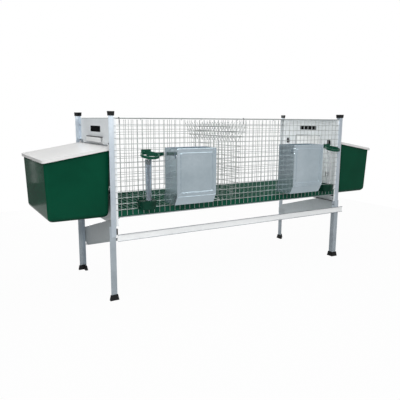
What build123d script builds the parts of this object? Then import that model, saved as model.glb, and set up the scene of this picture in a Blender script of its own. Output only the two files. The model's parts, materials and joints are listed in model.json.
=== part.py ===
import os
from math import cos, radians, sin, tan

from build123d import *

# Two-compartment breeding cage on legs, with a nest tub at each end.
# Millimetres, +Z up, X along the front (left end negative), Y from front to rear.
# The origin is on the floor, at the middle of the whole outline. Heights are measured from
# the lower edge of the end panels, and each piece is lifted by stand_height as it is saved.

# Main body
cage_length = 1372.0        # over the outer faces of the end panels
cage_depth = 510.0          # over the outer faces of the front and rear mesh
stand_height = 343.0        # floor to the lower edge of the end panels
panel_height = 476.0
sheet = 1.0                 # galvanised sheet
gap = 0.3                   # seat between pieces that hook or stand on one another
slide_gap = 0.5             # running clearance of sliding sheets
overcut = 1.0               # cuts run this far past a face
round_steps = 4             # straight steps in a quarter turn of a moulded corner

# Corner posts: equal angle, one leg flat on the end panel, the other pointing outward
post_leg = 23.5
post_wall = 2.0
post_rise = 28.0            # above the panel's upper edge
post_drop = 47.0            # below the panel's lower edge
cap_wall = 2.5              # plastic cap around the angle
cap_end = 3.0               # closed end
cap_height = 19.0
cap_taper = 4.0             # degrees, widening towards the closed end

# Legs: wider angles that nest in the hollow side of the posts
leg_flange = 29.0
leg_wall = 2.0
leg_fit = 0.2
leg_lap = 49.0              # up the post, from its lower end
foot_wall = 2.5
foot_end = 3.0
foot_height = 26.0
foot_taper = 9.0            # degrees

# Welded mesh
wire = 2.0
mesh_pitch = 27.0
mesh_bottom = 47.0
mesh_top_drop = 4.0         # front and rear mesh stay this far below the roof lids

# End panels
panel_flange = 12.0
vent_count = 4
vent_width = 30.0
vent_bar = 6.0
vent_height = 20.0
vent_drop = 48.0            # middle of the vents below the panel's upper edge
plug_fit = 0.2
plug_lap = 1.5              # plug's flange around its vent
plug_flange = 1.5
doorway_width = 215.0
doorway_bottom = 137.0
doorway_drop = 94.0         # its head below the panel's upper edge
doorway_corner = 12.0
hook_slot_width = 27.0
hook_slot_height = 30.0
hook_slot_inset = 75.0      # middle of a slot from the cage's front or rear
hook_slot_low = 141.0       # lower edge of the lower slots

# Bolts with square necks, through post and end panel or through post and leg
bolt_low = 14.0             # lower bolt above the panel's lower edge
bolt_drop = 32.0            # upper bolt below the panel's upper edge
leg_bolt_drop = 23.0        # below the panel's lower edge
bolt_inset = 14.0
bolt_neck = 5.0
bolt_fit = 0.2
bolt_head_across = 9.0
bolt_head_height = 3.5
bolt_nut_across = 8.0
bolt_nut_height = 4.0

# Divider and hay rack
divider_x = -16.0
rack_drop = 107.0           # top of the divider below the panel's upper edge
rack_grip = 8.0             # the rack's sides start this far below the divider's top
rack_height = 100.0
rack_half_width = 60.0      # at the top, from the divider's middle

# Roof lids and their drop hooks
roof_end_gap = 9.0          # from the outer face of the end panel, past the post caps
roof_split = 2.0            # between the two lids
hinge_ring_wire = 1.5
hinge_ring_fit = 0.45
hinge_ring_inset = 60.0     # ring from each end of a lid
latch_wire = 2.6
latch_drop = 27.0
latch_fit = 0.45            # around the lid's front wire
latch_stand = 1.0           # clear of the front mesh
latch_inset = 12.0          # from the left end of each lid

# Slatted plastic floor
floor_top = 71.0
floor_plate = 4.0
floor_rib = 4.0
floor_rib_drop = 10.0
floor_skirt = 3.0
floor_skirt_bottom = 42.0
slot_length = 140.0         # front to back
slot_width = 15.0
slot_bar_long = 16.0        # between the ends of slots
slot_bar_short = 13.0       # between slots side by side
floor_border = 22.0
rail_leg = 20.0
rail_wall = 1.5
rail_inset = 9.0            # rail behind the outer face of the mesh
shoe_length = 22.0
shoe_drop = 11.0

# Hopper feeders
feeder_inset = 346.0        # middle of a feeder from the near end of the cage
feeder_width = 205.0
feeder_depth = 120.0
feeder_drop = 129.0         # its top below the panel's upper edge
feeder_face_bottom = 133.0
feeder_bottom = 91.0
feeder_chamfer = 22.0
feeder_throat = 162.0       # lower edge of the back plate
trough_reach = 14.0         # into the cage, from the outer face of the mesh
trough_lip = 125.0
trough_shoulder = 150.0     # side plates where they meet the back plate
feeder_hem = 13.0
feeder_hem_proud = 1.2
feeder_lift = 20.0          # travel when it is unhooked
feeder_hook_drop = 62.0     # hooks below the feeder's top
feeder_hook_width = 8.0
feeder_hook_tip = 9.0
feeder_hook_inset = 22.0
feeder_grip_width = 10.0
feeder_grip_height = 24.0
feeder_grip_drop = 20.0
trough_room = 3.0           # mesh opening around the trough and around the drinker's cup

# Bottle drinkers
drinker_insets = (147.0, 98.0)   # from the left end and from the right end
ring_radius = 43.0
ring_bore = 36.0
ring_height = 11.0
ring_tilt = 14.0
ring_drop = 159.0           # middle of the ring below the panel's upper edge
ring_stand = 47.0           # middle of the ring in front of the mesh
ring_sides = 24
ring_arm_reach = 88.0
ring_arm_height = 15.0
ring_arm_foot = 8.0
ring_arm_width = 26.0       # where it meets the mesh
ring_block_width = 45.0
ring_block_height = 24.0
tube_radius = 13.0
tube_flare = 2.5            # wider at the top
tube_wall = 2.0
tube_drop = 20.0            # its top below the middle of the ring
tube_foot = 8.0             # its lower end above the cup's floor
tube_stand = 28.0           # in front of the mesh
tube_sides = 24
cup_width = 70.0            # at the floor
cup_outside = 50.0          # at the floor, in front of the mesh
cup_inside = 46.0           # at the floor, behind the mesh
cup_height = 39.0
cup_flare = 5.0             # wider all round at the top
cup_flat = 8.0              # straight stretch at each end
cup_wall = 2.5

# Nest tubs, lids and doors; lengths outward from the end panel
tub_bottom = 38.0
rim_drop = 125.0            # sloping rim at the end panel, below the panel's upper edge
rim_slope = 9.4             # degrees, falling outward
tub_crown_rise = 21.0       # walls are drawn this far above the rim before the sloping cut
tub_floor_gap = 20.0
tub_floor_length = 266.0
tub_floor_inset = 31.0      # from the cage's front and rear
tub_top_gap = 9.0
tub_top_length = 288.0
tub_top_inset = 21.0
tub_wall = 3.0
tub_corner = 14.0
tub_floor_round = 22.0
tub_rim = 6.0
tub_rim_thick = 4.0
nest_entry_width = 200.0
lid_thick = 2.5
lid_lip = 11.0
lid_lip_wall = 1.5
lid_fit = 1.0
lid_corner = 18.0
lid_seat = 0.6              # above the rim
hinge_out = 9.0             # pin from the end panel
knuckle_bite = 0.6          # barrel sunk into the lid's plate
hinge_post_gap = 3.0        # bracket from the corner post
hinge_pin = 2.0
hinge_bore = 2.3
hinge_knuckle = 4.5
hinge_knuckle_length = 14.0
hinge_sides = 8             # of the barrel and its bore
hinge_ear = 2.0
hinge_ear_edge = 0.4        # ear around the pin
hinge_ear_gap = 0.5
hinge_ear_rise = 8.0        # bracket above the barrel
door_width = 240.0
door_lap = 10.0             # over the sill
door_head_lap = 7.0         # over the head
door_handle_out = 11.0
door_handle_drop = 22.0
door_grip_height = 4.0
guide_cover = 8.0
guide_base = 13.0
guide_drop = 25.0           # guides end this far below the doorway's head
hook_rim_drop = 20.0        # lower edge of the upper slots below the rim
hook_neck_width = 22.0
hook_neck_height = 13.0
hook_tongue = 3.5
hook_tongue_drop = 4.0

# Sloping dung chute and its tray
chute_slope = 16.0          # degrees, falling to the rear
chute_top = 39.0            # cheek's upper edge at the front mesh
chute_wall = 78.0
chute_band = 25.0
chute_tuck = 12.0
chute_ledge = 17.0
chute_sheet = 1.2
strap_length = 34.0         # along the cheek
strap_pad = 19.0            # along the leg
strap_height = 36.0
tray_rim = 12.0
tray_side_gap = 3.5
tray_rear_reach = 28.0      # behind the rear mesh
lip_drop = 37.0             # its top below the panel's lower edge
lip_height = 31.0
lip_hem = 4.0
lip_stand = 1.0             # in front of the posts
lip_left_gap = 3.0          # lip starts this far inside the left end panel
lip_right_reach = 60.0      # lip runs this far past the right end panel
catch_width = 7.0
catch_depth = 6.0
catch_height = 28.0

# Derived planes and steps
half_length = cage_length / 2
mesh_thick = 2 * wire
foot_reach = foot_wall + foot_height * tan(radians(foot_taper))
rear_reach = max(tray_rear_reach, foot_reach)
feeder_reach = feeder_depth + feeder_hem_proud
y_front = (feeder_reach - rear_reach - cage_depth) / 2
y_back = y_front + cage_depth
y_middle = (y_front + y_back) / 2
inner_front = y_front + mesh_thick
inner_back = y_back - mesh_thick
panel_inner = -half_length + sheet
mesh_top = panel_height - mesh_top_drop
doorway_top = panel_height - doorway_drop
rim_height = panel_height - rim_drop
tub_crown = rim_height + tub_crown_rise
feeder_top = panel_height - feeder_drop
ring_z = panel_height - ring_drop
tube_top = ring_z - tube_drop
tube_y = y_front - tube_stand
leg_start = post_wall + leg_fit
lip_top = -lip_drop
chute_fall = tan(radians(chute_slope))


def block(x0, x1, y0, y1, z0, z1):
    middle = Pos((x0 + x1) / 2, (y0 + y1) / 2, (z0 + z1) / 2)
    return middle * Box(x1 - x0, y1 - y0, z1 - z0)


def prism(plane, points, amount):
    return extrude(plane * make_face(Polyline(*points, close=True)), amount)


def across_y(points, x0, x1):
    # Outline given as (y, z), drawn from x0 to x1.
    return prism(Plane.YZ.offset(x0), points, x1 - x0)


def quarter(x, y, radius, start):
    # Points of a quarter turn about (x, y), from the start angle.
    angles = [radians(start + 90 * i / round_steps) for i in range(round_steps + 1)]
    return [(x + radius * cos(angle), y + radius * sin(angle)) for angle in angles]


def rounded(length, depth, corner, place):
    # Level rectangle about the place, with its corners turned in steps, as points in space.
    x, y = length / 2 - corner, depth / 2 - corner
    points = quarter(x, y, corner, 0) + quarter(-x, y, corner, 90)
    points += quarter(-x, -y, corner, 180) + quarter(x, -y, corner, 270)
    return [place + Vector(*point) for point in points]


def other_end(shape):
    return shape.mirror(Plane.YZ)


def to_rear(shape):
    return shape.mirror(Plane.XZ.offset(-y_middle))


def save(name, *shapes):
    lift = Pos(0, 0, stand_height)
    solids = [lift * solid for shape in shapes for solid in shape.solids()]
    export_step(Compound(solids), "parts/" + name + ".step")


# Welded mesh: separate straight wires in two touching layers

def square_wire(length):
    return Pos(length / 2, 0, 0) * Box(length, wire, wire)


def round_wire(length):
    return extrude(Plane.YZ * Circle(wire / 2), length)


def runs(length, holes):
    # The stretches of a wire that are left between the holes it crosses.
    start = 0.0
    for low, high in sorted(holes):
        if low > start:
            yield start, low
        start = high
    if length > start:
        yield start, length


def wire_places(span):
    inner = span - wire
    count = max(2, round(inner / mesh_pitch))
    return [wire / 2 + inner * i / count for i in range(count + 1)]


def mesh(place, width, height, holes=(), edge_wire=square_wire):
    # Uprights lie on the plane, cross wires on top of them. Holes are (u0, u1, v0, v1).
    solids = []
    for u in wire_places(width):
        cuts = [(v0, v1) for u0, u1, v0, v1 in holes if u0 < u < u1]
        for low, high in runs(height, cuts):
            upright = Pos(u, low, wire / 2) * Rot(0, 0, 90) * square_wire(high - low)
            solids.append(place.location * upright)
    rows = wire_places(height)
    for v in rows:
        make = edge_wire if v in (rows[0], rows[-1]) else square_wire
        cuts = [(u0, u1) for u0, u1, v0, v1 in holes if v0 < v < v1]
        for low, high in runs(width, cuts):
            cross = Pos(low, v, 1.5 * wire) * make(high - low)
            solids.append(place.location * cross)
    return solids


def clear_place(wanted, places):
    # Middle of the widest-enough space between wires that is nearest to the wanted place.
    ordered = sorted(places)
    spaces = [(a + b) / 2 for a, b in zip(ordered, ordered[1:]) if b - a > 4 * wire]
    return min(spaces, key=lambda x: abs(x - wanted))


front_columns = [x - half_length for x in wire_places(cage_length)]
front_rows = [z + mesh_bottom for z in wire_places(mesh_top - mesh_bottom)]
feeder_places = (-half_length + feeder_inset, half_length - feeder_inset)
drinker_places = (-half_length + drinker_insets[0], half_length - drinker_insets[1])


def front_holes():
    # Openings for the feeder troughs and the drinker cups.
    for x in feeder_places:
        side = feeder_width / 2 + trough_room
        top = trough_shoulder + feeder_lift + trough_room
        yield (x - side, x + side, feeder_bottom - trough_room, top)
    for x in drinker_places:
        side = cup_width / 2 + cup_flare + trough_room
        yield (x - side, x + side, floor_top - trough_room, floor_top + cup_height + trough_room)


def front_mesh():
    place = Plane((-half_length, inner_front, mesh_bottom), x_dir=(1, 0, 0), z_dir=(0, -1, 0))
    holes = [
        (x0 + half_length, x1 + half_length, z0 - mesh_bottom, z1 - mesh_bottom)
        for x0, x1, z0, z1 in front_holes()
    ]
    return mesh(place, cage_length, mesh_top - mesh_bottom, holes)


def rear_mesh():
    place = Plane((half_length, inner_back, mesh_bottom), x_dir=(-1, 0, 0), z_dir=(0, 1, 0))
    return mesh(place, cage_length, mesh_top - mesh_bottom)


# Corner posts with caps, and the legs nested in them with feet

def angle_outline(flange, wall, start):
    # Angle section with its heel at (-start, start), legs towards -X and +Y.
    inner, tip = start + wall, start + flange
    return [(-tip, start), (-start, start), (-start, tip), (-inner, tip), (-inner, inner), (-tip, inner)]


def corners(shape):
    # The front left piece and its three mirror images.
    front_left = Pos(-half_length, y_front, 0) * shape
    rear_left = Pos(-half_length, y_back, 0) * shape.mirror(Plane.XZ)
    return front_left, other_end(front_left), rear_left, other_end(rear_left)


post_section = (post_leg, post_wall, 0.0)
leg_section = (leg_flange, leg_wall, leg_start)
bolt_hole = bolt_neck + 2 * bolt_fit
panel_bolts = (bolt_low, panel_height - bolt_drop)


def bolt_holes(shape, x, heights):
    for z in heights:
        shape -= Pos(x, bolt_inset, z) * Box(2 * post_wall, bolt_hole, bolt_hole)
    return shape


def post():
    length = post_drop + panel_height + post_rise
    column = prism(Plane.XY.offset(-post_drop), angle_outline(*post_section), length)
    return bolt_holes(column, -post_wall / 2, (-leg_bolt_drop, *panel_bolts))


def leg():
    low = -stand_height + foot_end
    column = prism(Plane.XY.offset(low), angle_outline(*leg_section), leg_lap - post_drop - low)
    return bolt_holes(column, -leg_start - leg_wall / 2, (-leg_bolt_drop,))


def flared(x0, x1, y0, y1, height, spread):
    # Block that widens upward by the spread on all four sides.
    points = [(x, y, 0) for x in (x0, x1) for y in (y0, y1)]
    points += [(x, y, height) for x in (x0 - spread, x1 + spread) for y in (y0 - spread, y1 + spread)]
    return ConvexPolyhedron(points)


def ferrule(section, wall, height, end, taper):
    # Cap over the end of an angle, standing mouth down at the origin.
    flange, thick, start = section
    heel, inner, tip = start - wall, start + thick + wall, start + flange + wall
    spread = height * tan(radians(taper))
    shell = flared(-tip, -heel, heel, inner, height, spread)
    shell += flared(-inner, -heel, heel, tip, height, spread)
    return shell - prism(Plane.XY, angle_outline(*section), height - end)


def post_cap():
    mouth = panel_height + post_rise + cap_end - cap_height
    return Pos(0, 0, mouth) * ferrule(post_section, cap_wall, cap_height, cap_end, cap_taper)


def foot():
    shoe = ferrule(leg_section, foot_wall, foot_height, foot_end, foot_taper)
    return Pos(0, 0, foot_height - stand_height) * shoe.mirror(Plane.XY)


def bolt(face, inside, y, z):
    # Head on the outer face, neck through the sheets, nut on the inside.
    head = RegularPolygon(bolt_head_across / 2, 6, major_radius=False)
    nut = RegularPolygon(bolt_nut_across / 2, 6, major_radius=False)
    half = bolt_neck / 2
    shank = block(face, inside, -half, half, -half, half)
    shank += extrude(Plane.YZ.offset(face - bolt_head_height) * head, bolt_head_height)
    shank += extrude(Plane.YZ.offset(inside) * nut, bolt_nut_height)
    return Pos(0, y, z) * shank


def post_bolts():
    leg_face = -half_length - leg_start - leg_wall
    for y in (y_front + bolt_inset, y_back - bolt_inset):
        pieces = [bolt(-half_length - post_wall, panel_inner, y, z) for z in panel_bolts]
        pieces.append(bolt(leg_face, -half_length, y, -leg_bolt_drop))
        for piece in pieces:
            yield piece
            yield other_end(piece)


# End panel: a pan of sheet with its edges turned inward

def vent_places():
    row = vent_count * vent_width + (vent_count - 1) * vent_bar
    return [y_middle - row / 2 + i * (vent_width + vent_bar) for i in range(vent_count)]


vent_low = panel_height - vent_drop - vent_height / 2
vent_high = panel_height - vent_drop + vent_height / 2
hook_side = cage_depth / 2 - hook_slot_inset
hook_slot_bottoms = (hook_slot_low, rim_height - hook_rim_drop)


def end_panel():
    low_y, high_y = inner_front, inner_back
    outer_x = -half_length
    pan = block(outer_x, outer_x + panel_flange, low_y, high_y, 0, panel_height)
    pan -= block(
        outer_x + sheet, outer_x + 2 * panel_flange,
        low_y + sheet, high_y - sheet, sheet, panel_height - sheet,
    )
    web = (outer_x - overcut, outer_x + sheet + overcut)
    for y in vent_places():
        pan -= block(*web, y, y + vent_width, vent_low, vent_high)
    for side in (-1, 1):
        y = y_middle + side * hook_side
        for z in hook_slot_bottoms:
            half = hook_slot_width / 2
            pan -= block(*web, y - half, y + half, z, z + hook_slot_height)
    opening = block(
        *web, y_middle - doorway_width / 2, y_middle + doorway_width / 2, doorway_bottom, doorway_top,
    )
    pan -= chamfer(opening.edges().filter_by(Axis.X), doorway_corner)
    hole = bolt_hole / 2
    for y in (y_front + bolt_inset, y_back - bolt_inset):
        for z in panel_bolts:
            pan -= block(*web, y - hole, y + hole, z - hole, z + hole)
    return pan


def vent_plugs():
    # Flush outside, so that the nest door can pass, with a flange inside.
    inside = panel_inner + plug_flange
    for y in vent_places():
        end = y + vent_width
        plug = block(
            -half_length, inside, y + plug_fit, end - plug_fit, vent_low + plug_fit, vent_high - plug_fit,
        )
        yield plug + block(
            panel_inner, inside, y - plug_lap, end + plug_lap, vent_low - plug_lap, vent_high + plug_lap,
        )


# Divider and the V of the hay rack above it

rack_root = panel_height - rack_drop


def divider_mesh():
    place = Plane(
        (divider_x - mesh_thick / 2, inner_front + gap, floor_top), x_dir=(0, 1, 0), z_dir=(1, 0, 0),
    )
    return mesh(place, inner_back - inner_front - 2 * gap, rack_root - floor_top)


def hay_rack_side():
    rise = rack_height
    spread = rack_half_width - mesh_thick
    slope_length = (rise ** 2 + spread ** 2) ** 0.5
    inward = Vector(rise, 0, spread) / slope_length
    root_x = divider_x - mesh_thick / 2 - gap - mesh_thick * inward.X
    place = Plane(
        (root_x, inner_front + gap, rack_root - rack_grip), x_dir=(0, 1, 0), z_dir=tuple(inward),
    )
    return mesh(place, inner_back - inner_front - 2 * gap, slope_length)


# Roof lids, the rings that they hinge in, and their drop hooks

roof_spans = (
    (-half_length + roof_end_gap, divider_x - roof_split / 2),
    (divider_x + roof_split / 2, half_length - roof_end_gap),
)
roof_hinge_z = panel_height + 1.5 * wire


def roof_lid(span):
    place = Plane((span[0], y_front, panel_height), x_dir=(1, 0, 0), z_dir=(0, 0, 1))
    return mesh(place, span[1] - span[0], cage_depth, edge_wire=round_wire)


def roof_uprights(span):
    return [span[0] + u for u in wire_places(span[1] - span[0])]


def roof_hinge_rings():
    low = mesh_top - wire - hinge_ring_fit
    high = roof_hinge_z + wire / 2 + hinge_ring_fit
    near = y_back - wire - hinge_ring_fit
    far = y_back + hinge_ring_fit
    thick = hinge_ring_wire
    loop = block(-wire / 2, wire / 2, near - thick, far + thick, low - thick, high + thick)
    loop -= block(-wire, wire, near, far, low, high)
    for span in roof_spans:
        crossings = front_columns + roof_uprights(span)
        for wanted in (span[0] + hinge_ring_inset, sum(span) / 2, span[1] - hinge_ring_inset):
            yield Pos(clear_place(wanted, crossings), 0, 0) * loop


def roof_latch(span):
    # Hook bent over the lid's front wire, with a shank that hangs in front of the mesh.
    y = y_front + wire / 2
    z = roof_hinge_z
    bore = wire / 2 + latch_fit
    out = bore + latch_wire
    shank_y = y_front - latch_stand - y
    outline = [
        (shank_y - latch_wire, out), (out, out), (out, -bore), (bore, -bore), (bore, bore),
        (shank_y, bore), (shank_y, -latch_drop), (shank_y - 2 * latch_wire, -latch_drop - latch_wire),
        (shank_y - 2 * latch_wire, -latch_drop), (shank_y - latch_wire, -latch_drop + latch_wire),
    ]
    x = clear_place(span[0] + latch_inset, roof_uprights(span)) - latch_wire / 2
    return across_y([(y + dy, z + dz) for dy, dz in outline], x, x + latch_wire)


# Slatted plastic floor on two angle rails

rail_top = floor_top - floor_plate - floor_rib_drop


def floor_panel(x0, x1):
    inset = sheet + slide_gap
    y0, y1 = inner_front + inset, inner_back - inset
    under = floor_top - floor_plate
    plate = block(x0, x1, y0, y1, under, floor_top)
    columns = max(1, int((x1 - x0 - 2 * floor_border + slot_bar_short) // (slot_width + slot_bar_short)))
    rows = max(1, int((y1 - y0 - 2 * floor_border + slot_bar_long) // (slot_length + slot_bar_long)))
    slots = GridLocations(slot_width + slot_bar_short, slot_length + slot_bar_long, columns, rows)
    pattern = Sketch() + [spot * Rectangle(slot_width, slot_length) for spot in slots]
    centre = Plane(((x0 + x1) / 2, (y0 + y1) / 2, floor_top + overcut))
    plate -= extrude(centre * pattern, -floor_plate - 2 * overcut)
    for y in (y0, y1 - floor_skirt):
        plate += block(x0, x1, y, y + floor_skirt, floor_skirt_bottom, under)
    rib_y = rail_inset + rail_leg / 2
    for y in (y_front + rib_y - floor_rib / 2, y_back - rib_y - floor_rib / 2):
        plate += block(x0, x1, y, y + floor_rib, rail_top, under)
    return plate


def floor_rail():
    y = y_front + rail_inset
    outline = [
        (y, rail_top), (y + rail_leg, rail_top), (y + rail_leg, rail_top - rail_wall),
        (y + rail_wall, rail_top - rail_wall), (y + rail_wall, rail_top - rail_leg), (y, rail_top - rail_leg),
    ]
    return across_y(outline, panel_inner, -panel_inner)


def rail_shoes():
    # Black plastic wedges that carry the rail ends on the end panels.
    top = rail_top - rail_leg
    x = panel_inner
    wedge = [(x, top), (x + shoe_length, top), (x, top - shoe_drop)]
    shoe = prism(Plane.XZ.offset(-(y_front + rail_inset)), wedge, -rail_leg)
    for piece in (shoe, to_rear(shoe)):
        yield piece
        yield other_end(piece)


# Hopper feeder, hooked on the front mesh with the lip of its trough inside

def feeder(x):
    front = y_front - feeder_depth
    rear = y_front - gap - sheet
    left, right = x - feeder_width / 2, x + feeder_width / 2
    chamfer_y = front + feeder_chamfer
    lip_y = y_front + trough_reach
    sides = [
        (front, feeder_top), (front, feeder_face_bottom), (chamfer_y, feeder_bottom),
        (lip_y, feeder_bottom), (lip_y, trough_lip), (rear + sheet, trough_shoulder),
        (rear + sheet, feeder_top),
    ]
    above = feeder_top + overcut
    hollow = [
        (front + sheet, above), (front + sheet, feeder_face_bottom + sheet / 2),
        (chamfer_y + sheet / 2, feeder_bottom + sheet), (lip_y - sheet, feeder_bottom + sheet),
        (lip_y - sheet, above), (rear + sheet, above), (rear + sheet, feeder_throat),
        (rear, feeder_throat), (rear, above),
    ]
    hopper = across_y(sides, left, right)
    hopper -= across_y(hollow, left + sheet, right - sheet)
    # Hemmed edges of the front plate stand a little proud.
    proud = front - feeder_hem_proud
    hem = block(left, right, proud, front, feeder_face_bottom, feeder_top)
    hem -= block(
        left + feeder_hem, right - feeder_hem, proud - overcut, front + overcut,
        feeder_face_bottom + feeder_hem, feeder_top - feeder_hem,
    )
    hopper += hem
    # Finger slots near the front of both side plates.
    grip_y = front + feeder_hem + feeder_grip_width / 2
    grip_z = feeder_top - feeder_grip_drop - feeder_grip_height / 2
    hopper -= Pos(x, grip_y, grip_z) * Box(2 * feeder_width, feeder_grip_width, feeder_grip_height)
    for hook in feeder_hooks(x, rear + sheet):
        hopper += hook
    return hopper


def feeder_hooks(x, back):
    # Tabs that pass between uprights and drop behind a cross wire.
    row = min(front_rows, key=lambda z: abs(z - feeder_top + feeder_hook_drop))
    seat = row + wire / 2 + gap
    behind = y_front + wire + gap
    tip = row - feeder_hook_tip
    outline = [
        (back - sheet, seat), (behind, seat), (behind, tip),
        (behind + sheet, tip), (behind + sheet, seat + sheet), (back - sheet, seat + sheet),
    ]
    for side in (-1, 1):
        wanted = x + side * (feeder_width / 2 - feeder_hook_inset)
        middle = clear_place(wanted, front_columns)
        yield across_y(outline, middle - feeder_hook_width / 2, middle + feeder_hook_width / 2)


# Bottle drinker: holder ring, tube and cup

def bottle_ring(x):
    y = y_front - ring_stand
    spot = Plane(Pos(x, y, ring_z) * Rot(ring_tilt, 0, 0))
    root = (ring_radius + ring_bore) / 2
    arm_end = x + ring_arm_reach
    arm = [
        (x + root, y), (arm_end, y_front - ring_arm_foot), (arm_end, y_front),
        (arm_end - ring_arm_width, y_front), (x, y + root),
    ]
    holder = prism(Plane.XY.offset(ring_z - ring_arm_height / 2), arm, ring_arm_height)
    holder += block(
        x - ring_block_width / 2, x + ring_block_width / 2, y + root, y_front,
        ring_z, ring_z + ring_block_height,
    )
    band = RegularPolygon(ring_radius, ring_sides)
    bore = RegularPolygon(ring_bore, ring_sides)
    holder += extrude(spot.offset(-ring_height / 2) * band, ring_height)
    holder -= extrude(spot.offset(-2 * ring_height) * bore, 4 * ring_height)
    return holder


def tube_form(inset, low, high):
    # Slightly conical round, from low to high.
    points = []
    for radius, z in ((tube_radius - inset, low), (tube_radius + tube_flare - inset, high)):
        angles = [radians(360 * i / tube_sides) for i in range(tube_sides)]
        points += [(radius * cos(angle), radius * sin(angle), z) for angle in angles]
    return ConvexPolyhedron(points)


def drinker_tube(x):
    low = floor_top + cup_wall + tube_foot
    tube = tube_form(0, low, tube_top) - tube_form(tube_wall, low - overcut, tube_top + overcut)
    return Pos(x, tube_y, 0) * tube


def cup_form(x, inset):
    # Flared bowl with round ends, standing on the edge of the floor.
    depth = cup_outside + cup_inside
    middle_y = y_front + (cup_inside - cup_outside) / 2
    low = Vector(x, middle_y, floor_top + inset)
    high = Vector(x, middle_y, floor_top + cup_height)
    corner = (cup_width - cup_flat) / 2 - inset
    grown = 2 * (cup_flare - inset)
    points = rounded(cup_width - 2 * inset, depth - 2 * inset, corner, low)
    points += rounded(cup_width + grown, depth + grown, corner + cup_flare, high)
    return ConvexPolyhedron(points)


def drinker_cup(x):
    bowl = cup_form(x, 0)
    # A bridge over the outer half, with a collar that holds the tube.
    top = floor_top + cup_height
    bridge = bowl & block(
        x - cup_width, x + cup_width, y_front - 2 * cup_outside, y_front - cup_wall, top - cup_wall, top,
    )
    collar = RegularPolygon(tube_radius + tube_flare + gap + cup_wall, tube_sides)
    around = Plane((x, tube_y, top - cup_wall))
    cup = bowl - cup_form(x, cup_wall) + bridge + extrude(around * collar, 2 * cup_wall)
    return cup - Pos(x, tube_y, 0) * tube_form(-gap, floor_top + cup_wall + tube_foot, tube_top)


# Nest tub with a sloping rim, its lid, hinges, hooks and sliding door

rim_plane = Plane(
    (-half_length - tub_top_gap, y_middle, rim_height),
    x_dir=(-cos(radians(rim_slope)), 0, -sin(radians(rim_slope))),
    z_dir=(-sin(radians(rim_slope)), 0, cos(radians(rim_slope))),
)
hinge_x = -half_length - hinge_out
hinge_rise = lid_seat + lid_thick + hinge_knuckle - knuckle_bite
hinge_z = (
    rim_height - (hinge_out - tub_top_gap) * tan(radians(rim_slope))
    + hinge_rise / cos(radians(rim_slope))
)
hinge_ear_y = hinge_knuckle_length / 2 + hinge_ear_gap
hinge_side = cage_depth / 2 - post_leg - hinge_post_gap - hinge_ear_y - hinge_ear


def between(low, high, z):
    # Value at a height, on the straight wall from the tub's floor to its crown.
    return low + (high - low) * (z - tub_bottom) / (tub_crown - tub_bottom)


def tub_section(z, draw, corner):
    near = between(tub_floor_gap, tub_top_gap, z) + draw
    far = between(tub_floor_gap + tub_floor_length, tub_top_gap + tub_top_length, z) - draw
    depth = cage_depth - 2 * between(tub_floor_inset, tub_top_inset, z) - 2 * draw
    return rounded(far - near, depth, corner, Vector(-half_length - (near + far) / 2, y_middle, z))


def tub_form(inset, steps):
    # Drafted body of the tub with a rounded bottom edge, drawn in by the inset.
    turn = tub_floor_round - inset
    corner = tub_corner - inset
    points = tub_section(tub_crown, inset, corner)
    for i in range(steps + 1):
        angle = radians(90 * i / steps)
        z = tub_bottom + inset + turn * (1 - cos(angle))
        points += tub_section(z, inset + turn * (1 - sin(angle)), corner)
    return ConvexPolyhedron(points)


def rim_length():
    # Along the slope, from the end panel's side to the tub's outer wall.
    draft = (tub_floor_gap + tub_floor_length - tub_top_gap - tub_top_length) / (tub_crown - tub_bottom)
    reach = tub_top_length + draft * (tub_crown - rim_height)
    return reach / (cos(radians(rim_slope)) - draft * sin(radians(rim_slope)))


def rim_half_depth():
    return cage_depth / 2 - between(tub_floor_inset, tub_top_inset, rim_height)


def on_rim(u0, u1, half_v, w0, w1, corner):
    # Plate in the rim's own plane, u outward from the end panel, round at its two outer corners.
    u, v = u1 - corner, half_v - corner
    points = quarter(u, -v, corner, -90) + quarter(u, v, corner, 0)
    return prism(rim_plane.offset(w0), [(u0, -half_v), *points, (u0, half_v)], w1 - w0)


def nest_tub():
    far = 4 * tub_top_length
    above = rim_plane.location * Pos(0, 0, far / 2) * Box(2 * far, far, far)
    rim = on_rim(
        0, rim_length() + tub_rim, rim_half_depth() + tub_rim, -tub_rim_thick, 0, tub_corner + tub_rim,
    )
    tub = (tub_form(0, 3) + rim) - tub_form(tub_wall, 1) - above
    entry = block(
        -half_length - tub_floor_gap - 2 * tub_corner, -half_length,
        y_middle - nest_entry_width / 2, y_middle + nest_entry_width / 2,
        doorway_bottom, tub_crown + tub_top_length,
    )
    return tub - entry


def nest_lid():
    end = rim_length() + tub_rim + lid_fit + lid_lip_wall
    side = rim_half_depth() + tub_rim + lid_fit + lid_lip_wall
    start = -lid_lip_wall / 2
    top = lid_seat + lid_thick
    pan = on_rim(start, end, side, lid_seat - lid_lip, top, lid_corner)
    pan -= on_rim(
        start - 2 * lid_corner, end - lid_lip_wall, side - lid_lip_wall,
        lid_seat - 2 * lid_lip, lid_seat, lid_corner - lid_lip_wall,
    )
    barrel = RegularPolygon(hinge_knuckle, hinge_sides, major_radius=False)
    bore = RegularPolygon(hinge_bore, hinge_sides, major_radius=False)
    for y in (y_middle - hinge_side, y_middle + hinge_side):
        spot = Plane((hinge_x, y, hinge_z), x_dir=(1, 0, 0), z_dir=(0, 1, 0))
        half = hinge_knuckle_length / 2
        pan += extrude(spot.offset(-half) * barrel, 2 * half)
        pan -= extrude(spot.offset(-2 * half) * bore, 4 * half)
    return pan


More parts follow.
